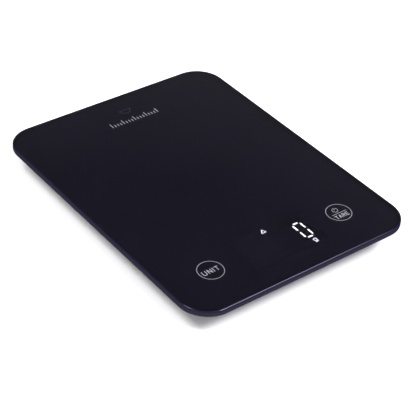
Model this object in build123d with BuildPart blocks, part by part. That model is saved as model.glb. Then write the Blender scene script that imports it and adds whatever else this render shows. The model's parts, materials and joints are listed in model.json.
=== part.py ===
"""Slim digital kitchen scale: a back-printed glass platform on a shallow housing with four load-cell feet.

Millimetres, +Z up, +X to the right of a person reading the display, +Y away from them.
The origin is on the table, under the middle of the glass.
"""
from build123d import *
from math import atan2, degrees, hypot
import os

# ---------------------------------------------------------------- driving dimensions
GLASS_WIDTH = 176.0
GLASS_LENGTH = 230.0
GLASS_THICKNESS = 4.0
GLASS_CORNER_RADIUS = 21.0
GLASS_EDGE_RADIUS = 1.2
TOTAL_HEIGHT = 20.0

PRINT_THICKNESS = 0.12
PRINT_INSET = 0.5
TAPE_THICKNESS = 0.5
TAPE_WIDTH = 9.0

HOUSING_INSET = 16.0
HOUSING_CORNER_RADIUS = 16.0
WALL = 1.5
ROOF_THICKNESS = 1.2
HOUSING_BOTTOM = 2.1
HOUSING_EDGE_RADIUS = 1.2
COVER_GAP = 0.15

FOOT_X = 53.0
FOOT_Y = 80.0
FOOT_RADIUS = 10.0
FOOT_HOLE_RADIUS = 10.6
FLANGE_RADIUS = 11.8
PAD_RADIUS = 8.5
PAD_HEIGHT = 2.0

CELL_SIZE = 25.0
CELL_THICKNESS = 1.2
CELL_BOTTOM = 6.0

KEY_X = (-52.5, 53.5)
KEY_Y = -79.1
KEY_RING_DIAMETER = 17.4
KEY_LINE = 0.34
LEGEND_LINE = 0.52

WINDOW_WIDTH = 60.0
WINDOW_DEPTH = 32.0
WINDOW_X = 1.0
WINDOW_Y = -79.7
DIGIT_COUNT = 4
DIGIT_PITCH = 12.2
LAST_DIGIT_X = 21.85
DIGIT_Y = -79.9
DIGIT_COLUMN_SPAN = 6.2
DIGIT_HEIGHT = 16.6
SEGMENT_WIDTH = 1.12
SEGMENT_GAP = 1.0
ICON_LINE = 0.42
STABLE_SPOT = (-0.87, -67.1)
GRAM_SPOT = (22.1, -91.9)
SEGMENT_DEPTH = 1.0
DISPLAY_HEIGHT = 6.0

BOARD_WIDTH = 74.0
BOARD_DEPTH = 32.0
BOARD_Y = -81.2
BOARD_THICKNESS = 1.0

BATTERY_DIAMETER = 10.5
BATTERY_LENGTH = 44.5
BATTERY_Y = (77.5, 88.5)
BAY_WIDTH = 51.6
BAY_DEPTH = 23.6
BAY_Y = 83.0
BAY_WALL = 1.2

DOOR_FRONT_Y = 70.0
DOOR_WIDTH = 54.0
DOOR_THICKNESS = 1.2
DOOR_LIP_HEIGHT = 5.6
TONGUE_WIDTH = 1.5
TONGUE_THICKNESS = 0.6
DOOR_GAP = 0.2

SCREW_SPOTS = ((-62.0, -46.0), (62.0, -46.0), (-62.0, 46.0), (62.0, 46.0), (0.0, -50.0), (0.0, 54.0))
BOSS_RADIUS = 3.6
SCREW_RADIUS = 1.15
PILOT_RADIUS = 1.2
SCREW_HEAD_RADIUS = 2.6

LEAD_RADIUS = 0.7

# ---------------------------------------------------------------- levels worked out from them
GLASS_BOTTOM = TOTAL_HEIGHT - GLASS_THICKNESS
PRINT_BOTTOM = GLASS_BOTTOM - PRINT_THICKNESS
HOUSING_TOP = PRINT_BOTTOM - TAPE_THICKNESS
ROOF_BOTTOM = HOUSING_TOP - ROOF_THICKNESS
HOUSING_WIDTH = GLASS_WIDTH - 2 * HOUSING_INSET
HOUSING_LENGTH = GLASS_LENGTH - 2 * HOUSING_INSET
CAVITY_WIDTH = HOUSING_WIDTH - 2 * WALL
CAVITY_LENGTH = HOUSING_LENGTH - 2 * WALL
CAVITY_RADIUS = HOUSING_CORNER_RADIUS - WALL
COVER_TOP = HOUSING_BOTTOM + WALL
CELL_TOP = CELL_BOTTOM + CELL_THICKNESS
DISPLAY_TOP = PRINT_BOTTOM - 0.18
DISPLAY_BOTTOM = DISPLAY_TOP - DISPLAY_HEIGHT
BOARD_TOP = DISPLAY_BOTTOM
BOARD_BOTTOM = BOARD_TOP - BOARD_THICKNESS
BATTERY_AXIS_Z = ROOF_BOTTOM - 0.18 - BATTERY_DIAMETER / 2
DOOR_REAR_Y = HOUSING_LENGTH / 2
CORNERS = {
    "front_left": (-1, -1),
    "front_right": (1, -1),
    "rear_left": (-1, 1),
    "rear_right": (1, 1),
}

os.makedirs("parts", exist_ok=True)


def save(piece, label):
    """Label a finished piece and write it as its own STEP file."""
    piece.part.label = label
    export_step(piece.part, f"parts/{label}.step")


# ---------------------------------------------------------------- drawing helpers
def pen_stroke(start, end, width):
    """One straight, round-ended stroke in the current sketch."""
    run = (end[0] - start[0], end[1] - start[1])
    middle = ((start[0] + end[0]) / 2, (start[1] + end[1]) / 2)
    with Locations(middle):
        SlotCenterToCenter(hypot(*run), width, rotation=degrees(atan2(run[1], run[0])))


def pen_path(points, width):
    """A chain of strokes through the points."""
    for start, end in zip(points, points[1:]):
        pen_stroke(start, end, width)


# Plain single-line capitals on a cell one unit wide and one unit high.
GLYPHS = {
    "A": (((0, 0), (0.5, 1), (1, 0)), ((0.2, 0.36), (0.8, 0.36))),
    "E": (((1, 1), (0, 1), (0, 0), (1, 0)), ((0, 0.52), (0.85, 0.52))),
    "I": (((0, 0), (0, 1)),),
    "N": (((0, 0), (0, 1), (1, 0), (1, 1)),),
    "R": (((0, 0), (0, 1), (0.8, 1), (1, 0.86), (1, 0.64), (0.8, 0.5), (0, 0.5)), ((0.5, 0.5), (1, 0))),
    "T": (((0, 1), (1, 1)), ((0.5, 0), (0.5, 1))),
    "U": (((0, 1), (0, 0.22), (0.2, 0), (0.8, 0), (1, 0.22), (1, 1)),),
}


def lettering(word, left, bottom, width, height, gap):
    """A word in single-line capitals that fills the given width."""
    slim = {"I"}
    wide_letters = [letter for letter in word if letter not in slim]
    letter_width = (width - gap * (len(word) - 1) - LEGEND_LINE) / len(wide_letters)
    x = left + LEGEND_LINE / 2
    for letter in word:
        cell = 0.0 if letter in slim else letter_width
        for path in GLYPHS[letter]:
            pen_path([(x + px * cell, bottom + py * height) for px, py in path], LEGEND_LINE)
        x += cell + gap


def key_ring(x):
    """The thin printed circle round a touch key."""
    with Locations((x, KEY_Y)):
        Circle(KEY_RING_DIAMETER / 2 + KEY_LINE / 2)
        Circle(KEY_RING_DIAMETER / 2 - KEY_LINE / 2, mode=Mode.SUBTRACT)


def unit_legend():
    """The ring and word of the unit key."""
    key_ring(KEY_X[0])
    lettering("UNIT", left=KEY_X[0] - 6.7, bottom=KEY_Y - 2.4, width=12.7, height=3.6, gap=1.6)


def power_symbol(x, y, radius):
    """A circle open at the top with an upright stroke in the gap."""
    with Locations((x, y)):
        Circle(radius + KEY_LINE / 2)
        Circle(radius - KEY_LINE / 2, mode=Mode.SUBTRACT)
    with Locations((x, y + radius)):
        Rectangle(radius, radius, mode=Mode.SUBTRACT)
    pen_stroke((x, y + radius * 0.15), (x, y + radius * 1.2), KEY_LINE)


def tare_legend():
    """The ring, power symbol, dividing line and word of the tare key."""
    key_ring(KEY_X[1])
    x = KEY_X[1]
    line_y = KEY_Y - 0.5
    power_symbol(x - 0.7, KEY_Y + 3.1, 2.0)
    pen_stroke((x - 5.9, line_y), (x + 5.9, line_y), KEY_LINE)
    lettering("TARE", left=x - 5.7, bottom=KEY_Y - 5.2, width=10.8, height=3.0, gap=1.1)


MARK_X = 4.0
MARK_Y = 86.0
TICK_COUNT = 17
TICK_PITCH = 2.4


def graduation_mark():
    """A neutral row of ruler ticks, taller at every fourth."""
    for step in range(TICK_COUNT):
        x = MARK_X + (step - (TICK_COUNT - 1) / 2) * TICK_PITCH
        height = 4.6 if step % 4 == 0 else 2.4
        pen_stroke((x, MARK_Y - 2.3), (x, MARK_Y - 2.3 + height), LEGEND_LINE)


def bowl_mark():
    """A neutral outline of a bowl."""
    radius = 4.2
    rim_y = MARK_Y + 12.5
    with Locations((MARK_X, rim_y)):
        Circle(radius + KEY_LINE / 2)
        Circle(radius - KEY_LINE / 2, mode=Mode.SUBTRACT)
        Rectangle(2 * radius + 2, radius + 1, align=(Align.CENTER, Align.MIN), mode=Mode.SUBTRACT)
    pen_stroke((MARK_X - radius - 0.9, rim_y), (MARK_X + radius + 0.9, rim_y), KEY_LINE)


def segment_paths(x):
    """The seven bars of one digit, as end points, keyed a to g."""
    left = x - DIGIT_COLUMN_SPAN / 2
    right = x + DIGIT_COLUMN_SPAN / 2
    top = DIGIT_Y + DIGIT_HEIGHT / 2 - SEGMENT_WIDTH / 2
    bottom = DIGIT_Y - DIGIT_HEIGHT / 2 + SEGMENT_WIDTH / 2
    end = SEGMENT_GAP
    return {
        "a": ((left + end, top), (right - end, top)),
        "b": ((right, top - end), (right, DIGIT_Y + end)),
        "c": ((right, DIGIT_Y - end), (right, bottom + end)),
        "d": ((left + end, bottom), (right - end, bottom)),
        "e": ((left, DIGIT_Y - end), (left, bottom + end)),
        "f": ((left, top - end), (left, DIGIT_Y + end)),
        "g": ((left + end, DIGIT_Y), (right - end, DIGIT_Y)),
    }


def segment_bar(start, end):
    """One bar with pointed ends, as on a moulded display."""
    half = SEGMENT_WIDTH / 2
    length = hypot(end[0] - start[0], end[1] - start[1])
    turn = degrees(atan2(end[1] - start[1], end[0] - start[0]))
    outline = (
        (-length / 2, 0),
        (-length / 2 + half, half),
        (length / 2 - half, half),
        (length / 2, 0),
        (length / 2 - half, -half),
        (-length / 2 + half, -half),
    )
    with Locations(((start[0] + end[0]) / 2, (start[1] + end[1]) / 2)):
        Polygon(*outline, rotation=turn)


LIT_BARS = "abcdef"


def lit_bars():
    """The bars of the last digit that show a zero."""
    paths = segment_paths(LAST_DIGIT_X)
    for key in LIT_BARS:
        segment_bar(*paths[key])


def unlit_bars():
    """Every other bar of the display."""
    for place in range(DIGIT_COUNT):
        paths = segment_paths(LAST_DIGIT_X - place * DIGIT_PITCH)
        for key in paths:
            if place > 0 or key not in LIT_BARS:
                segment_bar(*paths[key])


def display_icons():
    """The stable-reading triangle and the small gram letter."""
    x, y = STABLE_SPOT
    pen_path(((x - 1.7, y - 1.1), (x, y + 1.9), (x + 1.7, y - 1.1), (x - 1.7, y - 1.1)), ICON_LINE)
    x, y = GRAM_SPOT
    with Locations((x, y)):
        Circle(1.35)
        Circle(1.35 - ICON_LINE, mode=Mode.SUBTRACT)
    pen_path(((x + 1.14, y + 1.2), (x + 1.14, y - 1.7), (x + 0.6, y - 2.2), (x - 0.9, y - 2.2)), ICON_LINE)


# ---------------------------------------------------------------- glass platform and its prints
with BuildPart() as glass_platform:
    with BuildSketch(Plane.XY.offset(GLASS_BOTTOM)):
        RectangleRounded(GLASS_WIDTH, GLASS_LENGTH, GLASS_CORNER_RADIUS)
    extrude(amount=GLASS_THICKNESS)
    rims = glass_platform.edges().group_by(Axis.Z)
    fillet(rims[0] + rims[-1], GLASS_EDGE_RADIUS)
save(glass_platform, "glass_platform")

with BuildPart() as back_print:
    with BuildSketch(Plane.XY.offset(PRINT_BOTTOM)):
        RectangleRounded(
            GLASS_WIDTH - 2 * PRINT_INSET,
            GLASS_LENGTH - 2 * PRINT_INSET,
            GLASS_CORNER_RADIUS - PRINT_INSET,
        )
        with Locations((WINDOW_X, WINDOW_Y)):
            RectangleRounded(WINDOW_WIDTH, WINDOW_DEPTH, 2.0, mode=Mode.SUBTRACT)
        with BuildSketch(mode=Mode.SUBTRACT):
            unit_legend()
            tare_legend()
            graduation_mark()
            bowl_mark()
    extrude(amount=PRINT_THICKNESS)
save(back_print, "back_print")

with BuildPart() as display_filter:
    with BuildSketch(Plane.XY.offset(PRINT_BOTTOM)):
        with Locations((WINDOW_X, WINDOW_Y)):
            RectangleRounded(WINDOW_WIDTH, WINDOW_DEPTH, 2.0)
    extrude(amount=PRINT_THICKNESS)
save(display_filter, "display_filter")

INK_NODES = {
    "unit_key_legend": unit_legend,
    "tare_key_legend": tare_legend,
    "graduation_mark": graduation_mark,
    "bowl_mark": bowl_mark,
}
for label, draw in INK_NODES.items():
    with BuildPart() as ink:
        with BuildSketch(Plane.XY.offset(PRINT_BOTTOM)):
            draw()
        extrude(amount=PRINT_THICKNESS)
    save(ink, label)

with BuildPart() as bonding_tape:
    with BuildSketch(Plane.XY.offset(HOUSING_TOP)):
        RectangleRounded(HOUSING_WIDTH - 1, HOUSING_LENGTH - 1, HOUSING_CORNER_RADIUS - 0.5)
        RectangleRounded(
            HOUSING_WIDTH - 1 - 2 * TAPE_WIDTH,
            HOUSING_LENGTH - 1 - 2 * TAPE_WIDTH,
            HOUSING_CORNER_RADIUS - TAPE_WIDTH,
            mode=Mode.SUBTRACT,
        )
        with Locations((WINDOW_X, WINDOW_Y)):
            Rectangle(WINDOW_WIDTH + 12, WINDOW_DEPTH + 2, mode=Mode.SUBTRACT)
        with Locations((WINDOW_X, -HOUSING_LENGTH / 2 + 1)):
            Rectangle(WINDOW_WIDTH + 20, 1.0)
        with Locations((KEY_X[0], KEY_Y), (KEY_X[1], KEY_Y)):
            Circle(KEY_RING_DIAMETER / 2 + 1, mode=Mode.SUBTRACT)
    extrude(amount=TAPE_THICKNESS)
save(bonding_tape, "bonding_tape")


# ---------------------------------------------------------------- housing
def corner_spots(x=FOOT_X, y=FOOT_Y):
    """The four mirrored places of a point."""
    return [(sx * x, sy * y) for sx, sy in CORNERS.values()]


RIB = 1.5
BOARD_POSTS = ((-34.2, -68.0), (34.2, -68.0), (-34.2, -94.4), (34.2, -94.4))
BOARD_POST_RADIUS = 1.9
BOARD_PILOT_RADIUS = 0.75
NOTCH_WIDTH = DOOR_WIDTH + 2 * TONGUE_WIDTH + 2 * DOOR_GAP

with BuildPart() as upper_shell:
    # Outer form with a softened lower edge, then the hollow inside it.
    with BuildSketch(Plane.XY.offset(HOUSING_BOTTOM)):
        RectangleRounded(HOUSING_WIDTH, HOUSING_LENGTH, HOUSING_CORNER_RADIUS)
    extrude(amount=HOUSING_TOP - HOUSING_BOTTOM)
    fillet(upper_shell.edges().group_by(Axis.Z)[0], HOUSING_EDGE_RADIUS)
    with BuildSketch(Plane.XY.offset(HOUSING_BOTTOM)):
        RectangleRounded(CAVITY_WIDTH, CAVITY_LENGTH, CAVITY_RADIUS)
    extrude(amount=ROOF_BOTTOM - HOUSING_BOTTOM, mode=Mode.SUBTRACT)
    # Square ribs that carry each load cell.
    with BuildSketch(Plane.XY.offset(CELL_TOP)):
        with Locations(*corner_spots()):
            RectangleRounded(CELL_SIZE, CELL_SIZE, 3.0)
            RectangleRounded(CELL_SIZE - 2 * RIB, CELL_SIZE - 2 * RIB, 1.5, mode=Mode.SUBTRACT)
    extrude(amount=ROOF_BOTTOM - CELL_TOP)
    with BuildSketch(Plane.XY.offset(CELL_TOP)):
        with Locations(*corner_spots(x=FOOT_X - CELL_SIZE / 2)):
            Rectangle(2 * RIB + 1, 5.0)
    extrude(amount=3.0, mode=Mode.SUBTRACT)
    # Bosses for the cover screws and posts for the circuit board.
    with BuildSketch(Plane.XY.offset(COVER_TOP)):
        with Locations(*SCREW_SPOTS):
            Circle(BOSS_RADIUS)
    extrude(amount=ROOF_BOTTOM - COVER_TOP)
    with BuildSketch(Plane.XY.offset(COVER_TOP)):
        with Locations(*SCREW_SPOTS):
            Circle(PILOT_RADIUS)
    extrude(amount=8.0, mode=Mode.SUBTRACT)
    with BuildSketch(Plane.XY.offset(BOARD_TOP)):
        with Locations(*BOARD_POSTS):
            Circle(BOARD_POST_RADIUS)
    extrude(amount=ROOF_BOTTOM - BOARD_TOP)
    with BuildSketch(Plane.XY.offset(BOARD_TOP)):
        with Locations(*BOARD_POSTS):
            Circle(BOARD_PILOT_RADIUS)
    extrude(amount=4.0, mode=Mode.SUBTRACT)
    # Battery bay walls, with slots for the solder tabs of the contacts.
    with BuildSketch(Plane.XY.offset(COVER_TOP)):
        with Locations((0, BAY_Y)):
            Rectangle(BAY_WIDTH + 2 * BAY_WALL, BAY_DEPTH + 2 * BAY_WALL)
            Rectangle(BAY_WIDTH, BAY_DEPTH, mode=Mode.SUBTRACT)
    extrude(amount=ROOF_BOTTOM - COVER_TOP)
    with BuildSketch(Plane.XY.offset(10.6)):
        with Locations(*[((BAY_WIDTH + BAY_WALL) / 2, y) for y in BATTERY_Y]):
            Rectangle(BAY_WALL + 1, 3.4)
    extrude(amount=2.8, mode=Mode.SUBTRACT)
    # Openings in the roof for the display and the two touch electrodes.
    with BuildSketch(Plane.XY.offset(ROOF_BOTTOM)):
        with Locations((WINDOW_X, WINDOW_Y)):
            Rectangle(WINDOW_WIDTH + 0.8, WINDOW_DEPTH - 0.2)
    extrude(amount=ROOF_THICKNESS, mode=Mode.SUBTRACT)
    with BuildSketch(Plane.XY.offset(ROOF_BOTTOM)):
        with Locations((KEY_X[0], KEY_Y), (KEY_X[1], KEY_Y)):
            Circle(KEY_RING_DIAMETER / 2 - 0.5)
    extrude(amount=ROOF_THICKNESS, mode=Mode.SUBTRACT)
    # Notch in the rear wall where the battery door slides out.
    with BuildSketch(Plane.XY.offset(HOUSING_BOTTOM)):
        with Locations((0, DOOR_REAR_Y)):
            Rectangle(NOTCH_WIDTH, 2 * WALL + 1)
    extrude(amount=DOOR_LIP_HEIGHT + DOOR_GAP, mode=Mode.SUBTRACT)
save(upper_shell, "upper_shell")

COVER_WIDTH = CAVITY_WIDTH - 2 * COVER_GAP
COVER_LENGTH = CAVITY_LENGTH - 2 * COVER_GAP
LIP_TOP = HOUSING_BOTTOM + 0.7
OPENING_WIDTH = DOOR_WIDTH + 2 * DOOR_GAP
RAIL_WIDTH = NOTCH_WIDTH
HEAD_RECESS_DEPTH = 1.0

with BuildPart() as bottom_cover:
    with BuildSketch(Plane.XY.offset(HOUSING_BOTTOM)):
        RectangleRounded(COVER_WIDTH, COVER_LENGTH, CAVITY_RADIUS - COVER_GAP)
    extrude(amount=WALL)
    # Round windows for the feet, each with a raised guide collar inside.
    with BuildSketch(Plane.XY.offset(HOUSING_BOTTOM)):
        with Locations(*corner_spots()):
            Circle(FOOT_HOLE_RADIUS)
    extrude(amount=WALL, mode=Mode.SUBTRACT)
    with BuildSketch(Plane.XY.offset(COVER_TOP)):
        with Locations(*corner_spots()):
            Circle(FLANGE_RADIUS + 1.1)
            Circle(FLANGE_RADIUS + 0.4, mode=Mode.SUBTRACT)
    extrude(amount=CELL_BOTTOM - COVER_TOP - 0.3)
    # Long shallow stiffening ribs inside.
    with BuildSketch(Plane.XY.offset(COVER_TOP)):
        with Locations((-20, 0), (20, 0)):
            Rectangle(1.2, 100)
        with Locations((0, -20), (0, 20)):
            Rectangle(90, 1.2)
    extrude(amount=1.6)
    # Screw holes with recessed heads.
    with BuildSketch(Plane.XY.offset(HOUSING_BOTTOM)):
        with Locations(*SCREW_SPOTS):
            Circle(SCREW_RADIUS + 0.3)
    extrude(amount=WALL, mode=Mode.SUBTRACT)
    with BuildSketch(Plane.XY.offset(HOUSING_BOTTOM)):
        with Locations(*SCREW_SPOTS):
            Circle(SCREW_HEAD_RADIUS + 0.4)
    extrude(amount=HEAD_RECESS_DEPTH, mode=Mode.SUBTRACT)
    # Battery opening: full depth between two ledges that carry the door's tongues.
    with BuildSketch(Plane.XY.offset(HOUSING_BOTTOM)):
        with Locations((0, DOOR_FRONT_Y - DOOR_GAP)):
            Rectangle(OPENING_WIDTH, HOUSING_LENGTH, align=(Align.CENTER, Align.MIN))
    extrude(amount=WALL, mode=Mode.SUBTRACT)
    with BuildSketch(Plane.XY.offset(LIP_TOP)):
        with Locations((0, DOOR_FRONT_Y - DOOR_GAP)):
            Rectangle(RAIL_WIDTH, HOUSING_LENGTH, align=(Align.CENTER, Align.MIN))
    extrude(amount=WALL, mode=Mode.SUBTRACT)
save(bottom_cover, "bottom_cover")

SCREW_LENGTH = 8.0
with BuildPart() as cover_screws:
    with BuildSketch(Plane.XY.offset(HOUSING_BOTTOM + HEAD_RECESS_DEPTH)):
        with Locations(*SCREW_SPOTS):
            Circle(SCREW_RADIUS)
    extrude(amount=SCREW_LENGTH - HEAD_RECESS_DEPTH)
    with BuildSketch(Plane.XY.offset(HOUSING_BOTTOM + 0.1)):
        with Locations(*SCREW_SPOTS):
            Circle(SCREW_HEAD_RADIUS)
    extrude(amount=HEAD_RECESS_DEPTH - 0.1)
    with BuildSketch(Plane.XY.offset(HOUSING_BOTTOM + 0.1)):
        with Locations(*SCREW_SPOTS):
            Rectangle(3.0, 0.6)
            Rectangle(0.6, 3.0)
    extrude(amount=0.5, mode=Mode.SUBTRACT)
save(cover_screws, "cover_screws")

GRIP_COUNT = 6
with BuildPart() as battery_door:
    # Flat panel, tongues along both sides, and the lip that fills the notch in the rear wall.
    with BuildSketch(Plane.XY.offset(HOUSING_BOTTOM)):
        with Locations((0, DOOR_FRONT_Y)):
            Rectangle(DOOR_WIDTH, DOOR_REAR_Y - DOOR_FRONT_Y, align=(Align.CENTER, Align.MIN))
    extrude(amount=DOOR_THICKNESS)
    with BuildSketch(Plane.XY.offset(LIP_TOP + 0.1)):
        with Locations((0, DOOR_FRONT_Y)):
            Rectangle(
                DOOR_WIDTH + 2 * TONGUE_WIDTH,
                DOOR_REAR_Y - DOOR_FRONT_Y,
                align=(Align.CENTER, Align.MIN),
            )
    extrude(amount=TONGUE_THICKNESS)
    with BuildSketch(Plane.XY.offset(HOUSING_BOTTOM)):
        with Locations((0, DOOR_REAR_Y)):
            Rectangle(DOOR_WIDTH + 2 * TONGUE_WIDTH, WALL, align=(Align.CENTER, Align.MAX))
    extrude(amount=DOOR_LIP_HEIGHT)
    outer_edges = battery_door.edges().filter_by(Axis.X).group_by(Axis.Y)[-1]
    fillet(outer_edges.sort_by(Axis.Z)[0], HOUSING_EDGE_RADIUS - 0.2)
    # Grip grooves under the rear edge.
    with BuildSketch(Plane.XY.offset(HOUSING_BOTTOM)):
        with Locations(*[(0, DOOR_REAR_Y - 5.0 - 1.8 * step) for step in range(GRIP_COUNT)]):
            SlotOverall(18.0, 0.8)
    extrude(amount=0.4, mode=Mode.SUBTRACT)
save(battery_door, "battery_door")


# ---------------------------------------------------------------- feet and load cells
def build_load_cell(x, y, side):
    """A stamped plate whose inner tongue bends when the foot presses up in its middle."""
    slot_outer = 19.0
    slot_inner = 15.6
    with BuildPart() as cell:
        with BuildSketch(Plane.XY.offset(CELL_BOTTOM)):
            with Locations((x, y)):
                RectangleRounded(CELL_SIZE, CELL_SIZE, 3.0)
                RectangleRounded(slot_outer, slot_outer, 1.5, mode=Mode.SUBTRACT)
                RectangleRounded(slot_inner, slot_inner, 1.2)
            with Locations((x - side * slot_outer / 2, y)):
                Rectangle(5.0, 9.0)
        extrude(amount=CELL_THICKNESS)
        with BuildSketch(Plane.XY.offset(CELL_TOP)):
            with Locations((x, y)):
                Circle(3.4)
        extrude(amount=0.8)
    return cell


def build_strain_gauge(x, y, side):
    """The sealed foil gauge on the neck of the tongue."""
    with BuildPart() as gauge:
        with BuildSketch(Plane.XY.offset(CELL_TOP)):
            with Locations((x - side * 8.6, y)):
                RectangleRounded(4.4, 6.4, 1.0)
        extrude(amount=0.6)
        fillet(gauge.faces().sort_by(Axis.Z)[-1].edges(), 0.25)
    return gauge


def build_foot_cup(x, y):
    """The rigid foot: skirt below the cover, flange above it, and the button that meets the cell."""
    with BuildPart() as cup:
        with BuildSketch(Plane.XY.offset(0.9)):
            with Locations((x, y)):
                Circle(FOOT_RADIUS)
        extrude(amount=COVER_TOP + 0.2 - 0.9)
        fillet(cup.edges().group_by(Axis.Z)[0], 0.6)
        with BuildSketch(Plane.XY.offset(COVER_TOP + 0.2)):
            with Locations((x, y)):
                Circle(FLANGE_RADIUS)
        extrude(amount=1.0)
        with BuildSketch(Plane.XY.offset(COVER_TOP + 1.2)):
            with Locations((x, y)):
                Circle(4.0)
        extrude(amount=CELL_BOTTOM - COVER_TOP - 1.2)
        with BuildSketch(Plane.XY):
            with Locations((x, y)):
                Circle(PAD_RADIUS + 0.05)
        extrude(amount=PAD_HEIGHT, mode=Mode.SUBTRACT)
    return cup


def build_foot_pad(x, y):
    """The soft pad pressed into the cup, with two shallow grip rings underneath."""
    with BuildPart() as pad:
        with BuildSketch(Plane.XY):
            with Locations((x, y)):
                Circle(PAD_RADIUS)
        extrude(amount=PAD_HEIGHT)
        fillet(pad.edges().group_by(Axis.Z)[0], 0.5)
        with BuildSketch(Plane.XY):
            with Locations((x, y)):
                Circle(6.2)
                Circle(5.6, mode=Mode.SUBTRACT)
                Circle(3.4)
                Circle(2.8, mode=Mode.SUBTRACT)
        extrude(amount=0.4, mode=Mode.SUBTRACT)
    return pad


for corner, (side, end) in CORNERS.items():
    foot_x = side * FOOT_X
    foot_y = end * FOOT_Y
    save(build_load_cell(foot_x, foot_y, side), f"load_cell_{corner}")
    save(build_strain_gauge(foot_x, foot_y, side), f"strain_gauge_{corner}")
    save(build_foot_cup(foot_x, foot_y), f"foot_cup_{corner}")
    save(build_foot_pad(foot_x, foot_y), f"foot_pad_{corner}")

# ---------------------------------------------------------------- display and circuit board
with BuildPart() as display_body:
    with BuildSketch(Plane.XY.offset(DISPLAY_BOTTOM)):
        with Locations((WINDOW_X, WINDOW_Y)):
            Rectangle(WINDOW_WIDTH, WINDOW_DEPTH - 1)
    extrude(amount=DISPLAY_HEIGHT)
    with BuildSketch(Plane.XY.offset(DISPLAY_TOP - SEGMENT_DEPTH)):
        lit_bars()
        unlit_bars()
        display_icons()
    extrude(amount=SEGMENT_DEPTH, mode=Mode.SUBTRACT)
save(display_body, "display_body")


def draw_lit():
    """Everything on the display that glows."""
    lit_bars()
    display_icons()


for label, draw in {"display_bars_lit": draw_lit, "display_bars_unlit": unlit_bars}.items():
    with BuildPart() as bars:
        with BuildSketch(Plane.XY.offset(DISPLAY_TOP - SEGMENT_DEPTH)):
            draw()
        extrude(amount=SEGMENT_DEPTH)
    save(bars, label)

with BuildPart() as main_board:
    with BuildSketch(Plane.XY.offset(BOARD_BOTTOM)):
        with Locations((0, BOARD_Y)):
            Rectangle(BOARD_WIDTH, BOARD_DEPTH)
        with Locations(*BOARD_POSTS):
            Circle(1.1, mode=Mode.SUBTRACT)
    extrude(amount=BOARD_THICKNESS)
save(main_board, "main_board")

with BuildPart() as board_screws:
    with BuildSketch(Plane.XY.offset(BOARD_BOTTOM)):
        with Locations(*BOARD_POSTS):
            Circle(BOARD_PILOT_RADIUS - 0.05)
    extrude(amount=4.0)
    with BuildSketch(Plane.XY.offset(BOARD_BOTTOM - 0.8)):
        with Locations(*BOARD_POSTS):
            Circle(1.7)
    extrude(amount=0.8)
save(board_screws, "board_screws")

with BuildPart() as processor_chip:
    with BuildSketch(Plane.XY.offset(BOARD_BOTTOM - 1.6)):
        with Locations((-6, -82)):
            Rectangle(10.0, 10.0)
    extrude(amount=1.5)
    with BuildSketch(Plane.XY.offset(BOARD_BOTTOM - 0.3)):
        with Locations((-6, -82)):
            with GridLocations(0, 1.0, 1, 8):
                Rectangle(12.4, 0.4)
            with GridLocations(1.0, 0, 8, 1):
                Rectangle(0.4, 12.4)
    extrude(amount=0.3)
save(processor_chip, "processor_chip")

with BuildPart() as converter_chip:
    with BuildSketch(Plane.XY.offset(BOARD_BOTTOM - 1.5)):
        with Locations((13, -82)):
            Rectangle(4.0, 9.8)
    extrude(amount=1.4)
    with BuildSketch(Plane.XY.offset(BOARD_BOTTOM - 0.3)):
        with Locations((13, -82)):
            with GridLocations(0, 1.27, 1, 7):
                Rectangle(6.0, 0.5)
    extrude(amount=0.3)
save(converter_chip, "converter_chip")

CAPACITOR_SPOTS = ((-20, -76), (-20, -88), (4, -92), (22, -92))
with BuildPart() as capacitors:
    with BuildSketch(Plane.XY.offset(BOARD_BOTTOM - 3.6)):
        with Locations(*CAPACITOR_SPOTS):
            Circle(2.0)
    extrude(amount=3.6)
    fillet(capacitors.edges().group_by(Axis.Z)[0], 0.4)
save(capacitors, "capacitors")

# Three-pin sockets for the load cells on both ends of the board, and a two-pin one for the batteries.
SOCKET_HEIGHT = 2.6
SENSOR_SOCKET_X = 33.2
FRONT_SOCKET_Y = -87.0
REAR_SOCKET_Y = -76.0
BATTERY_SOCKET = (24.0, -68.0)
with BuildPart() as lead_sockets:
    with BuildSketch(Plane.XY.offset(BOARD_BOTTOM - SOCKET_HEIGHT)):
        with Locations(*[(s * SENSOR_SOCKET_X, y) for s in (-1, 1) for y in (FRONT_SOCKET_Y, REAR_SOCKET_Y)]):
            RectangleRounded(5.0, 7.0, 0.4)
        with Locations(BATTERY_SOCKET):
            RectangleRounded(7.0, 5.0, 0.4)
    extrude(amount=SOCKET_HEIGHT)
save(lead_sockets, "lead_sockets")

# Thin copper electrodes under the two keys, each with a tail to the edge of the display opening.
ELECTRODE_THICKNESS = 0.08
TAIL_END_X = 32.4
for label, key_x in (("unit_electrode", KEY_X[0]), ("tare_electrode", KEY_X[1])):
    with BuildPart() as electrode:
        with BuildSketch(Plane.XY.offset(PRINT_BOTTOM - ELECTRODE_THICKNESS)):
            with Locations((key_x, KEY_Y)):
                Circle(7.0)
            tail_end = TAIL_END_X if key_x > 0 else -TAIL_END_X + 2
            with Locations(((key_x + tail_end) / 2, KEY_Y)):
                Rectangle(abs(key_x - tail_end), 2.6)
        extrude(amount=ELECTRODE_THICKNESS)
    save(electrode, label)

# ---------------------------------------------------------------- batteries and contacts
BUMP_DEPTH = 0.8
CONTACT_THICKNESS = 0.4
BAY_END = BAY_WIDTH / 2
CONTACT_FACE = BAY_END - CONTACT_THICKNESS
NUB_LENGTH = 0.9
NUB_RADIUS = 1.9
POSITIVE_TIP = CONTACT_FACE - BUMP_DEPTH
NEGATIVE_END = POSITIVE_TIP - BATTERY_LENGTH


def cell_end(direction, distance):
    """A plane across the cell's axis at a distance along it, facing out of the positive end."""
    return Plane(origin=(direction * distance, 0, 0), x_dir=(0, 1, 0), z_dir=(direction, 0, 0))


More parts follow.
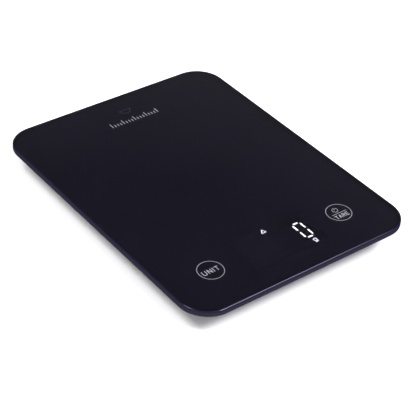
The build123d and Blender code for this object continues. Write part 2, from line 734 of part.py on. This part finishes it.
def build_battery(y, direction):
    """A round cell lying along X with its positive nub towards direction."""
    centre = (y, BATTERY_AXIS_Z * direction)
    with BuildPart() as battery:
        with BuildSketch(cell_end(direction, NEGATIVE_END)):
            with Locations(centre):
                Circle(BATTERY_DIAMETER / 2)
        extrude(amount=BATTERY_LENGTH - NUB_LENGTH)
        fillet(battery.edges(), 0.5)
        with BuildSketch(cell_end(direction, POSITIVE_TIP - NUB_LENGTH)):
            with Locations(centre):
                Circle(NUB_RADIUS)
        extrude(amount=NUB_LENGTH)
    return battery


save(build_battery(BATTERY_Y[0], 1), "battery_front")
save(build_battery(BATTERY_Y[1], -1), "battery_rear")


def contact_plate(side, y, width, tab=False, bump_y=None):
    """A plate against the end wall of the bay: a solder tab outside, a dimple for a positive nub."""
    with BuildPart() as plate:
        with BuildSketch(cell_end(side, CONTACT_FACE)):
            with Locations((y, side * BATTERY_AXIS_Z)):
                RectangleRounded(width, 9.0, 0.8)
        extrude(amount=CONTACT_THICKNESS)
        if tab:
            with BuildSketch(cell_end(side, BAY_END)):
                with Locations((y, side * 12.0)):
                    Rectangle(2.4, 2.0)
            extrude(amount=BAY_WALL + 1.4)
        if bump_y is not None:
            with BuildSketch(cell_end(side, POSITIVE_TIP)):
                with Locations((bump_y, side * BATTERY_AXIS_Z)):
                    Circle(1.8)
            extrude(amount=BUMP_DEPTH)
    return plate


save(contact_plate(1, BATTERY_Y[0], 9.0, tab=True, bump_y=BATTERY_Y[0]), "positive_contact")
save(contact_plate(1, BATTERY_Y[1], 9.0, tab=True), "negative_contact")
save(contact_plate(-1, sum(BATTERY_Y) / 2, 20.0, bump_y=BATTERY_Y[1]), "bridge_contact")

# Two round springs, each pushed against a negative cell end.
SPRING_WIRE = 0.3
SPRING_RADIUS = 3.2
SPRING_TURNS = 3.5
SPRING_LENGTH = CONTACT_FACE + NEGATIVE_END - 2 * SPRING_WIRE - 0.04


def build_spring(side, y):
    """A compression spring lying along X between the contact plate and the cell."""
    start = (side * (CONTACT_FACE - SPRING_WIRE - 0.02), y, BATTERY_AXIS_Z)
    with BuildPart() as spring:
        with BuildLine() as path:
            Helix(
                pitch=SPRING_LENGTH / SPRING_TURNS,
                height=SPRING_LENGTH,
                radius=SPRING_RADIUS,
                center=start,
                direction=(-side, 0, 0),
            )
        with BuildSketch(path.line ^ 0):
            Circle(SPRING_WIRE)
        sweep(is_frenet=True)
    return spring


save(build_spring(-1, BATTERY_Y[0]), "bridge_spring")
save(build_spring(1, BATTERY_Y[1]), "negative_spring")


# ---------------------------------------------------------------- leads
def build_lead(route, radii):
    """A round lead along straight runs joined by tangent arcs."""
    with BuildPart() as lead:
        with BuildLine() as path:
            FilletPolyline(*route, radius=radii)
        with BuildSketch(path.line ^ 0):
            Circle(LEAD_RADIUS)
        sweep()
    return lead


LEAD_HIGH_Z = CELL_TOP + 0.6 + LEAD_RADIUS + 0.1
LEAD_LOW_Z = BOARD_BOTTOM - SOCKET_HEIGHT / 2
LEAD_CHANNEL_X = 38.7
for corner, (side, end) in CORNERS.items():
    start_x = side * (FOOT_X - 7.6)
    plug_x = side * (SENSOR_SOCKET_X + 2.5)
    if end < 0:
        route = (
            (start_x, -FOOT_Y, LEAD_HIGH_Z),
            (side * 39.8, -FOOT_Y, LEAD_HIGH_Z),
            (side * 38.2, FRONT_SOCKET_Y, LEAD_LOW_Z),
            (plug_x, FRONT_SOCKET_Y, LEAD_LOW_Z),
        )
        radii = (1.6, 1.1)
    else:
        route = (
            (start_x, FOOT_Y, LEAD_HIGH_Z),
            (side * LEAD_CHANNEL_X, FOOT_Y, LEAD_HIGH_Z),
            (side * LEAD_CHANNEL_X, REAR_SOCKET_Y + 6, LEAD_LOW_Z),
            (side * LEAD_CHANNEL_X, REAR_SOCKET_Y, LEAD_LOW_Z),
            (plug_x, REAR_SOCKET_Y, LEAD_LOW_Z),
        )
        radii = (2.4, 20.0, 1.8)
    save(build_lead(route, radii), f"sensor_lead_{corner}")

TAB_END = BAY_END + BAY_WALL + 1.4
BATTERY_PLUG_Y = BATTERY_SOCKET[1] + 2.5
for label, tab_y, channel_x, plug_x in (
    ("positive_lead", BATTERY_Y[0], 31.4, 22.8),
    ("negative_lead", BATTERY_Y[1], 33.6, 25.2),
):
    route = (
        (TAB_END, tab_y, 12.0),
        (channel_x, tab_y, 12.0),
        (channel_x, -40.0, LEAD_LOW_Z),
        (plug_x, -54.0, LEAD_LOW_Z),
        (plug_x, BATTERY_PLUG_Y, LEAD_LOW_Z),
    )
    save(build_lead(route, (1.2, 6.0, 6.0)), label)
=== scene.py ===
"""The looks of the slim glass kitchen scale: rim, inks, lit display, housing and the hidden electronics."""
import json
import math

import bmesh
import bpy
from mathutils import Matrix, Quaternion, Vector


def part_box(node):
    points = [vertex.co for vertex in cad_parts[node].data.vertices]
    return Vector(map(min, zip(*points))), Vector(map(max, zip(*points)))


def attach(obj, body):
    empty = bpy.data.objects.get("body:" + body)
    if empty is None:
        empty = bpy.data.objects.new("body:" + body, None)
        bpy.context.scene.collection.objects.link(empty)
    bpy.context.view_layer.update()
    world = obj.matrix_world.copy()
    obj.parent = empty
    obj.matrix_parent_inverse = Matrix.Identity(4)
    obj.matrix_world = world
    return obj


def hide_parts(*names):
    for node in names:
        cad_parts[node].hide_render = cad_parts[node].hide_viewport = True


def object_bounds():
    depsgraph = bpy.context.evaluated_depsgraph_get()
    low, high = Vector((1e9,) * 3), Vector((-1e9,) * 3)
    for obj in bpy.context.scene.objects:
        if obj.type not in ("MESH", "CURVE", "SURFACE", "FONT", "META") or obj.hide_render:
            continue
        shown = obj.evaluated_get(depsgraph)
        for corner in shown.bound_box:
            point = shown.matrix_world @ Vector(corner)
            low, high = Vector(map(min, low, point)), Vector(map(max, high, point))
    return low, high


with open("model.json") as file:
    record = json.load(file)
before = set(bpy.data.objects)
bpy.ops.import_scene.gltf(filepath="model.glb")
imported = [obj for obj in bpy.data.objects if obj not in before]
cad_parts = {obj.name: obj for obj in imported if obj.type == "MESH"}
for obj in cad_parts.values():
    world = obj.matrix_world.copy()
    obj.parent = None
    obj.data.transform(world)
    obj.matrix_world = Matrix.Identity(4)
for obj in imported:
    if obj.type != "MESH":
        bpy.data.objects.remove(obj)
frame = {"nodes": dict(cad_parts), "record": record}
cad_low, cad_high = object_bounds()
scene = bpy.context.scene

# ---------------------------------------------------------------- camera
TOP = Vector((0.0, 0.0, cad_high.z))
CAMERA_AZIMUTH = -39.09
CAMERA_ELEVATION = 37.28
CAMERA_ROLL = 3.36
CAMERA_DISTANCE = 0.9067
CAMERA_AIM = TOP + Vector((-0.0172, -0.0295, 0.0))
CAMERA_LENS = 119.9
SENSOR_WIDTH = 36.0
NEAREST_SEEN = 0.01


def direction(azimuth, elevation):
    """The unit vector towards a place round the object: azimuth 0 is the front, 90 the right-hand side."""
    a, e = math.radians(azimuth), math.radians(elevation)
    return Vector((math.sin(a) * math.cos(e), -math.cos(a) * math.cos(e), math.sin(e)))


def make_camera():
    """The long-lens view down onto the near corner."""
    outward = direction(CAMERA_AZIMUTH, CAMERA_ELEVATION)
    data = bpy.data.cameras.new("camera")
    data.lens = CAMERA_LENS
    data.sensor_width = SENSOR_WIDTH
    data.clip_start = NEAREST_SEEN
    camera = bpy.data.objects.new("camera", data)
    camera.location = CAMERA_AIM + outward * CAMERA_DISTANCE
    camera.rotation_mode = "QUATERNION"
    roll = Quaternion(outward, math.radians(CAMERA_ROLL))
    camera.rotation_quaternion = roll @ outward.to_track_quat("Z", "Y")
    scene.collection.objects.link(camera)
    scene.camera = camera


# ---------------------------------------------------------------- material helpers
def new_material(name):
    """An empty node material with its node and link makers."""
    material = bpy.data.materials.new(name)
    material.use_nodes = True
    nodes = material.node_tree.nodes
    nodes.clear()
    return material, nodes, material.node_tree.links


def show(nodes, links, shader):
    """Put a shader on the material's output."""
    output = nodes.new("ShaderNodeOutputMaterial")
    links.new(shader.outputs[0], output.inputs["Surface"])


def principled(nodes, **values):
    """A Principled shader with constants set on its own sockets."""
    shader = nodes.new("ShaderNodeBsdfPrincipled")
    for key, value in values.items():
        shader.inputs[key.replace("_", " ")].default_value = value
    return shader


def mixed(nodes, links, first, second, share):
    """Two shaders, with a fixed share of the second one."""
    mix = nodes.new("ShaderNodeMixShader")
    mix.inputs["Fac"].default_value = share
    links.new(first.outputs[0], mix.inputs[1])
    links.new(second.outputs[0], mix.inputs[2])
    return mix


def object_space(nodes, links, stretch=(1.0, 1.0, 1.0)):
    """Coordinates fixed to the piece, stretched along its axes."""
    coordinates = nodes.new("ShaderNodeTexCoord")
    mapping = nodes.new("ShaderNodeMapping")
    mapping.inputs["Scale"].default_value = stretch
    links.new(coordinates.outputs["Object"], mapping.inputs["Vector"])
    return mapping.outputs["Vector"]


def noise(nodes, links, vector, per_metre, detail=3.0, rough=0.55):
    """A noise field with features of 1 / per_metre."""
    field = nodes.new("ShaderNodeTexNoise")
    field.inputs["Scale"].default_value = per_metre
    field.inputs["Detail"].default_value = detail
    field.inputs["Roughness"].default_value = rough
    links.new(vector, field.inputs["Vector"])
    return field.outputs["Fac"]


def remap(nodes, links, value, low, high, from_low=0.3, from_high=0.7):
    """Spread a value over a new range."""
    node = nodes.new("ShaderNodeMapRange")
    node.inputs["From Min"].default_value = from_low
    node.inputs["From Max"].default_value = from_high
    node.inputs["To Min"].default_value = low
    node.inputs["To Max"].default_value = high
    links.new(value, node.inputs["Value"])
    return node.outputs["Result"]


def two_tone(nodes, links, value, tones, low=0.35, high=0.65):
    """A colour that runs between two tones."""
    ramp = nodes.new("ShaderNodeValToRGB")
    for element, place, tone in zip(ramp.color_ramp.elements, (low, high), tones):
        element.position = place
        element.color = (*tone, 1.0)
    links.new(value, ramp.inputs["Fac"])
    return ramp.outputs["Color"]


def bump(nodes, links, shader, height, strength, distance):
    """Raise the surface a little by a height field."""
    node = nodes.new("ShaderNodeBump")
    node.inputs["Strength"].default_value = strength
    node.inputs["Distance"].default_value = distance
    links.new(height, node.inputs["Height"])
    links.new(node.outputs["Normal"], shader.inputs["Normal"])


# ---------------------------------------------------------------- grained solids
DRIFT_PER_GRAIN = 0.06
GRAIN_STRENGTH = 0.6

# tones are linear colours, grain is in features per metre and depth in metres
GRAINED = {
    "foam_tape": dict(
        tones=((0.020, 0.020, 0.022), (0.035, 0.035, 0.038)),
        roughness=(0.7, 0.9), grain=2500.0, depth=0.00005,
    ),
    "housing_plastic": dict(
        tones=((0.018, 0.018, 0.020), (0.026, 0.026, 0.028)),
        roughness=(0.42, 0.62), grain=3200.0, depth=0.00006,
    ),
    "screw_steel": dict(
        tones=((0.46, 0.47, 0.50), (0.60, 0.60, 0.62)),
        roughness=(0.25, 0.4), grain=1800.0, depth=0.00002, metallic=1.0,
    ),
    "sensor_steel": dict(
        tones=((0.52, 0.52, 0.53), (0.62, 0.61, 0.60)),
        roughness=(0.28, 0.42), grain=900.0, depth=0.00002, metallic=1.0, stretch=(1.0, 12.0, 1.0),
    ),
    "gauge_sealant": dict(
        tones=((0.74, 0.74, 0.72), (0.82, 0.82, 0.80)),
        roughness=(0.35, 0.55), grain=900.0, depth=0.0001,
    ),
    "foot_plastic": dict(
        tones=((0.020, 0.020, 0.022), (0.030, 0.030, 0.033)),
        roughness=(0.35, 0.5), grain=3000.0, depth=0.00003,
    ),
    "pad_rubber": dict(
        tones=((0.045, 0.045, 0.048), (0.065, 0.065, 0.068)),
        roughness=(0.75, 0.92), grain=2200.0, depth=0.00008,
    ),
    "display_plastic": dict(
        tones=((0.008, 0.008, 0.009), (0.012, 0.012, 0.013)),
        roughness=(0.6, 0.8), grain=2500.0, depth=0.00003,
    ),
    "unlit_diffuser": dict(
        tones=((0.010, 0.010, 0.012), (0.014, 0.014, 0.016)),
        roughness=(0.5, 0.7), grain=1500.0, depth=0.00002,
    ),
    "chip_epoxy": dict(
        tones=((0.012, 0.012, 0.013), (0.018, 0.018, 0.019)),
        roughness=(0.5, 0.7), grain=4000.0, depth=0.00002,
    ),
    "capacitor_can": dict(
        tones=((0.62, 0.62, 0.64), (0.74, 0.74, 0.76)),
        roughness=(0.2, 0.32), grain=1500.0, depth=0.00001, metallic=1.0, stretch=(1.0, 1.0, 8.0),
    ),
    "socket_nylon": dict(
        tones=((0.70, 0.68, 0.60), (0.80, 0.78, 0.71)),
        roughness=(0.4, 0.55), grain=1500.0, depth=0.00002,
    ),
    "copper_foil": dict(
        tones=((0.78, 0.36, 0.20), (0.90, 0.48, 0.30)),
        roughness=(0.2, 0.35), grain=900.0, depth=0.00001, metallic=1.0,
    ),
    "plated_steel": dict(
        tones=((0.60, 0.60, 0.59), (0.74, 0.73, 0.71)),
        roughness=(0.18, 0.3), grain=1200.0, depth=0.00001, metallic=1.0,
    ),
    "lead_grey": dict(
        tones=((0.22, 0.22, 0.23), (0.30, 0.30, 0.31)),
        roughness=(0.4, 0.55), grain=1200.0, depth=0.00002,
    ),
    "lead_red": dict(
        tones=((0.42, 0.015, 0.012), (0.55, 0.025, 0.02)),
        roughness=(0.35, 0.5), grain=1200.0, depth=0.00002,
    ),
    "lead_black": dict(
        tones=((0.012, 0.012, 0.013), (0.02, 0.02, 0.021)),
        roughness=(0.35, 0.5), grain=1200.0, depth=0.00002,
    ),
}


def grained(name, tones, roughness, grain, depth, metallic=0.0, stretch=(1.0, 1.0, 1.0)):
    """A solid surface with a fine grain, slow colour drift and uneven gloss."""
    material, nodes, links = new_material(name)
    shader = principled(nodes, Metallic=metallic)
    show(nodes, links, shader)
    space = object_space(nodes, links, stretch)
    slow = noise(nodes, links, space, grain * DRIFT_PER_GRAIN, detail=2.0)
    fine = noise(nodes, links, space, grain, detail=4.0)
    links.new(two_tone(nodes, links, slow, tones), shader.inputs["Base Color"])
    links.new(remap(nodes, links, fine, *roughness), shader.inputs["Roughness"])
    bump(nodes, links, shader, fine, GRAIN_STRENGTH, depth)
    return material


# ---------------------------------------------------------------- inks
INKS = {
    "black_back_print": ((0.0084, 0.0077, 0.0142), (0.0094, 0.0086, 0.0158)),
    "grey_ink": ((0.62, 0.62, 0.66), (0.70, 0.70, 0.74)),
    "dim_ink": ((0.060, 0.060, 0.085), (0.075, 0.075, 0.105)),
}
INK_ROUGHNESS = (0.45, 0.6)
SMOKE_TONES = ((0.0150, 0.0138, 0.0290), (0.0165, 0.0152, 0.0315))
SMOKE_CLEAR = (0.80, 0.80, 0.82, 1.0)
SMOKE_INK_SHARE = 0.45


def fired_ink(name, tones):
    """Ceramic ink seen through the glass, slightly uneven in tone."""
    material, nodes, links = new_material(name)
    shader = principled(nodes, Specular_IOR_Level=0.0)
    show(nodes, links, shader)
    space = object_space(nodes, links)
    mesh = noise(nodes, links, space, per_metre=2500.0, detail=2.0)
    slow = noise(nodes, links, space, per_metre=25.0, detail=2.0)
    links.new(two_tone(nodes, links, slow, tones), shader.inputs["Base Color"])
    links.new(remap(nodes, links, mesh, *INK_ROUGHNESS), shader.inputs["Roughness"])
    return material


def smoke_filter():
    """A dark see-through ink that lets the glowing bars through."""
    material, nodes, links = new_material("smoke_filter")
    clear = nodes.new("ShaderNodeBsdfTransparent")
    clear.inputs["Color"].default_value = SMOKE_CLEAR
    ink = principled(nodes, Specular_IOR_Level=0.0, Roughness=0.5)
    slow = noise(nodes, links, object_space(nodes, links), per_metre=60.0, detail=2.0)
    links.new(two_tone(nodes, links, slow, SMOKE_TONES), ink.inputs["Base Color"])
    show(nodes, links, mixed(nodes, links, clear, ink, SMOKE_INK_SHARE))
    return material


# ---------------------------------------------------------------- glass, display, board and batteries
GLASS_INDEX = 1.52
GLASS_TONES = ((0.93, 0.93, 0.97), (0.95, 0.95, 0.985))
RIM_TONES = ((0.0032, 0.0022, 0.0085), (0.0044, 0.0030, 0.0110))
RIM_SHEEN = (0.72, 0.71, 1.0, 1.0)
RIM_SHEEN_SHARE = 0.019
GRINDING_STRETCH = (1.0, 1.0, 14.0)
GLOW_STRENGTH = 11.0
GLOW_TONES = ((0.93, 0.95, 1.0), (1.0, 1.0, 1.0))
DIFFUSER_TONES = ((0.80, 0.82, 0.86), (0.90, 0.90, 0.92))
BOARD_COLOURS = {
    "Color1": (0.010, 0.085, 0.030, 1.0),
    "Color2": (0.012, 0.100, 0.036, 1.0),
    "Mortar": (0.030, 0.190, 0.070, 1.0),
}
TRACKS_PER_METRE = 190.0
TRACK_SHARE = 0.06
JACKET_TONES = ((0.10, 0.11, 0.13), (0.62, 0.63, 0.66))
JACKET_BANDS = 7.0


def clear_glass():
    """Polished tempered glass with a faint haze and tint."""
    material, nodes, links = new_material("tempered_glass")
    shader = principled(nodes, Transmission_Weight=1.0, IOR=GLASS_INDEX)
    show(nodes, links, shader)
    space = object_space(nodes, links)
    haze = noise(nodes, links, space, per_metre=60.0, detail=5.0)
    links.new(remap(nodes, links, haze, low=0.0, high=0.01), shader.inputs["Roughness"])
    tint = noise(nodes, links, space, per_metre=9.0, detail=1.0)
    links.new(two_tone(nodes, links, tint, GLASS_TONES), shader.inputs["Base Color"])
    return material


def ground_rim():
    """The ground edge: dark violet glass with fine lines along the grinding and a thin even sheen."""
    material, nodes, links = new_material("ground_rim")
    body = principled(nodes, Specular_IOR_Level=0.0, Roughness=0.6)
    space = object_space(nodes, links, GRINDING_STRETCH)
    lines = noise(nodes, links, space, per_metre=180.0, detail=4.0)
    links.new(two_tone(nodes, links, lines, RIM_TONES), body.inputs["Base Color"])
    sheen = nodes.new("ShaderNodeBsdfGlossy")
    sheen.inputs["Color"].default_value = RIM_SHEEN
    links.new(remap(nodes, links, lines, low=0.08, high=0.16), sheen.inputs["Roughness"])
    bump(nodes, links, sheen, lines, strength=0.15, distance=0.00004)
    show(nodes, links, mixed(nodes, links, body, sheen, RIM_SHEEN_SHARE))
    return material


def lit_bar():
    """Milky epoxy that glows white with a slight cloudiness."""
    material, nodes, links = new_material("lit_diffuser")
    shader = principled(nodes, Roughness=0.4, Emission_Strength=GLOW_STRENGTH)
    show(nodes, links, shader)
    cloud = noise(nodes, links, object_space(nodes, links), per_metre=420.0, detail=2.0)
    links.new(two_tone(nodes, links, cloud, GLOW_TONES), shader.inputs["Emission Color"])
    links.new(two_tone(nodes, links, cloud, DIFFUSER_TONES), shader.inputs["Base Color"])
    return material


def circuit_board():
    """Green solder mask over a grid of tracks."""
    material, nodes, links = new_material("circuit_board")
    shader = principled(nodes, Roughness=0.35, Coat_Weight=0.3)
    show(nodes, links, shader)
    tracks = nodes.new("ShaderNodeTexBrick")
    tracks.inputs["Scale"].default_value = TRACKS_PER_METRE
    tracks.inputs["Mortar Size"].default_value = TRACK_SHARE
    for socket, colour in BOARD_COLOURS.items():
        tracks.inputs[socket].default_value = colour
    links.new(object_space(nodes, links, (1.0, 1.0, 0.02)), tracks.inputs["Vector"])
    links.new(tracks.outputs["Color"], shader.inputs["Base Color"])
    bump(nodes, links, shader, tracks.outputs["Fac"], strength=0.3, distance=0.00003)
    return material


def battery_jacket():
    """A plain metallic jacket in a dark and a light band."""
    material, nodes, links = new_material("battery_jacket")
    shader = principled(nodes, Metallic=0.7)
    show(nodes, links, shader)
    space = object_space(nodes, links)
    wave = nodes.new("ShaderNodeTexWave")
    wave.inputs["Scale"].default_value = JACKET_BANDS
    wave.inputs["Distortion"].default_value = 0.0
    links.new(space, wave.inputs["Vector"])
    bands = two_tone(nodes, links, wave.outputs["Fac"], JACKET_TONES, low=0.48, high=0.52)
    links.new(bands, shader.inputs["Base Color"])
    wear = noise(nodes, links, space, per_metre=300.0)
    links.new(remap(nodes, links, wear, low=0.25, high=0.4), shader.inputs["Roughness"])
    return material


# ---------------------------------------------------------------- dressing the CAD pieces
SPECIAL = {
    "smoke_filter": smoke_filter,
    "lit_diffuser": lit_bar,
    "circuit_board": circuit_board,
    "battery_jacket": battery_jacket,
}


def finish(slot):
    """The material of a record slot, or None for the glass, which has a visual model of its own."""
    if slot in GRAINED:
        return grained(slot, **GRAINED[slot])
    if slot in INKS:
        return fired_ink(slot, INKS[slot])
    if slot in SPECIAL:
        return SPECIAL[slot]()
    return None


def dress_cad_nodes():
    """Give every CAD node the material of its record slot."""
    made = {}
    for row in frame["record"]["subparts"]:
        slot = row["material_slot"]
        if slot not in made:
            made[slot] = finish(slot)
        if made[slot]:
            piece = frame["nodes"][row["node"]]
            piece.data.materials.clear()
            piece.data.materials.append(made[slot])


# ---------------------------------------------------------------- glass platform
CORNER_RADIUS = 0.021
CORNER_STEPS = 24
CORNER_SIGNS = ((1, 1), (-1, 1), (-1, -1), (1, -1))
TOP_ROUND = 0.0009
BOTTOM_ROUND = 0.0005
ARRIS_FLATNESS = 0.7
RIM_STEPS = 8
EMBED = 0.00003
POLISHED, GROUND = 0, 1


def rounded_loop(half_width, half_length, radius, z):
    """Points round a rounded rectangle, counter-clockwise seen from above."""
    points = []
    for quarter, (sx, sy) in enumerate(CORNER_SIGNS):
        x = sx * (half_width - radius)
        y = sy * (half_length - radius)
        for step in range(CORNER_STEPS + 1):
            angle = math.radians(90.0 * (quarter + step / CORNER_STEPS))
            points.append(Vector((x + radius * math.cos(angle), y + radius * math.sin(angle), z)))
    return points


def rim_profile(low, high):
    """(inset, height) pairs up the ground edge: a small lower arris, an upright flat, a full upper one."""
    profile = []
    for step in range(RIM_STEPS + 1):
        turn = math.radians(90.0 * step / RIM_STEPS)
        profile.append((BOTTOM_ROUND * (1.0 - math.sin(turn)), low + BOTTOM_ROUND * (1.0 - math.cos(turn))))
    for step in range(RIM_STEPS + 1):
        share = step / RIM_STEPS
        turn = math.radians(90.0 * share)
        inset = (1.0 - ARRIS_FLATNESS) * (1.0 - math.cos(turn)) + ARRIS_FLATNESS * share
        drop = (1.0 - ARRIS_FLATNESS) * (1.0 - math.sin(turn)) + ARRIS_FLATNESS * (1.0 - share)
        profile.append((TOP_ROUND * inset, high - TOP_ROUND * drop))
    return profile


def glass_mesh():
    """Two polished faces joined by a smooth ground rim."""
    low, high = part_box("glass_platform")
    mesh = bmesh.new()
    loops = []
    for inset, z in rim_profile(low.z - EMBED, high.z):
        outline = rounded_loop(high.x - inset, high.y - inset, CORNER_RADIUS - inset, z)
        loops.append([mesh.verts.new(point) for point in outline])
    for ends in (list(reversed(loops[0])), loops[-1]):
        mesh.faces.new(ends).material_index = POLISHED
    for lower, upper in zip(loops, loops[1:]):
        count = len(lower)
        for i in range(count):
            j = (i + 1) % count
            face = mesh.faces.new((lower[i], lower[j], upper[j], upper[i]))
            face.material_index = GROUND
            face.smooth = True
    data = bpy.data.meshes.new("glass_sheet")
    mesh.to_mesh(data)
    mesh.free()
    return data


def make_glass():
    """The platform: polished glass with a ground rim."""
    data = glass_mesh()
    data.materials.append(clear_glass())
    data.materials.append(ground_rim())
    sheet = bpy.data.objects.new("glass_sheet", data)
    scene.collection.objects.link(sheet)
    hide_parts("glass_platform")
    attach(sheet, "platform")


# ---------------------------------------------------------------- floor and lamps
PAPER_TONES = ((0.86, 0.86, 0.86), (0.88, 0.88, 0.88))
FLOOR_HALF = 6.0
FLOOR_CELLS = 8
LAMPS = (
    dict(
        name="front_strip", azimuth=36.0, elevation=48.0, distance=1.6,
        size=(0.9, 0.34), power=30.0, tint=(0.95, 0.95, 1.0),
    ),
    dict(
        name="left_key", azimuth=-112.0, elevation=58.0, distance=1.3,
        size=(0.5, 0.4), power=12.0, tint=(1.0, 1.0, 1.0),
    ),
)


def floor_material():
    """White sweep paper with the faintest mottle."""
    material, nodes, links = new_material("sweep_paper")
    shader = principled(nodes, Specular_IOR_Level=0.0)
    show(nodes, links, shader)
    mottle = noise(nodes, links, object_space(nodes, links), per_metre=14.0, detail=3.0)
    links.new(two_tone(nodes, links, mottle, PAPER_TONES), shader.inputs["Base Color"])
    links.new(remap(nodes, links, mottle, low=0.85, high=0.95), shader.inputs["Roughness"])
    return material


def make_floor():
    """One large pale sheet."""
    mesh = bmesh.new()
    bmesh.ops.create_grid(mesh, x_segments=FLOOR_CELLS, y_segments=FLOOR_CELLS, size=FLOOR_HALF)
    data = bpy.data.meshes.new("floor")
    mesh.to_mesh(data)
    mesh.free()
    data.materials.append(floor_material())
    floor = bpy.data.objects.new("floor", data)
    scene.collection.objects.link(floor)


def area_light(name, azimuth, elevation, distance, size, power, tint):
    """A soft rectangular lamp aimed at the platform."""
    data = bpy.data.lights.new(name, "AREA")
    data.shape = "RECTANGLE"
    data.size, data.size_y = size
    data.energy = power
    data.color = tint
    lamp = bpy.data.objects.new(name, data)
    outward = direction(azimuth, elevation)
    lamp.location = TOP + outward * distance
    lamp.rotation_mode = "QUATERNION"
    lamp.rotation_quaternion = outward.to_track_quat("Z", "Y")
    scene.collection.objects.link(lamp)


# ---------------------------------------------------------------- surroundings
DOME_TINT = (1.0, 0.99, 1.02, 1.0)
DOME_LEVEL = 1.25
DARK_LEVEL = 0.05
DARK_AZIMUTH = 145.0
DARK_ELEVATION = 50.0
DARK_CORE = 14.0
DARK_REACH = 45.0
HORIZON_SHARE = 0.7
HORIZON_LOW, HORIZON_HIGH = 0.1, 0.6


def make_world():
    """A white dome, weaker near the horizon, with one dark flag that the level glass mirrors."""
    world = bpy.data.worlds.new("studio")
    world.use_nodes = True
    nodes, links = world.node_tree.nodes, world.node_tree.links
    nodes.clear()
    coordinates = nodes.new("ShaderNodeTexCoord")
    facing = nodes.new("ShaderNodeVectorMath")
    facing.operation = "DOT_PRODUCT"
    facing.inputs[1].default_value = direction(DARK_AZIMUTH, DARK_ELEVATION)
    links.new(coordinates.outputs["Generated"], facing.inputs[0])
    reach, core = math.cos(math.radians(DARK_REACH)), math.cos(math.radians(DARK_CORE))
    level = remap(nodes, links, facing.outputs["Value"], DOME_LEVEL, DARK_LEVEL, reach, core)
    split = nodes.new("ShaderNodeSeparateXYZ")
    links.new(coordinates.outputs["Generated"], split.inputs[0])
    share = remap(nodes, links, split.outputs["Z"], HORIZON_SHARE, 1.0, HORIZON_LOW, HORIZON_HIGH)
    strength = nodes.new("ShaderNodeMath")
    strength.operation = "MULTIPLY"
    links.new(level, strength.inputs[0])
    links.new(share, strength.inputs[1])
    background = nodes.new("ShaderNodeBackground")
    background.inputs["Color"].default_value = DOME_TINT
    links.new(strength.outputs[0], background.inputs["Strength"])
    output = nodes.new("ShaderNodeOutputWorld")
    links.new(background.outputs[0], output.inputs["Surface"])
    scene.world = world


def make_studio():
    """Floor, room and lamps, shown without a film curve so that white paper stays white."""
    scene.view_settings.view_transform = "Standard"
    make_floor()
    make_world()
    for lamp in LAMPS:
        area_light(**lamp)


make_camera()
dress_cad_nodes()
make_glass()
make_studio()
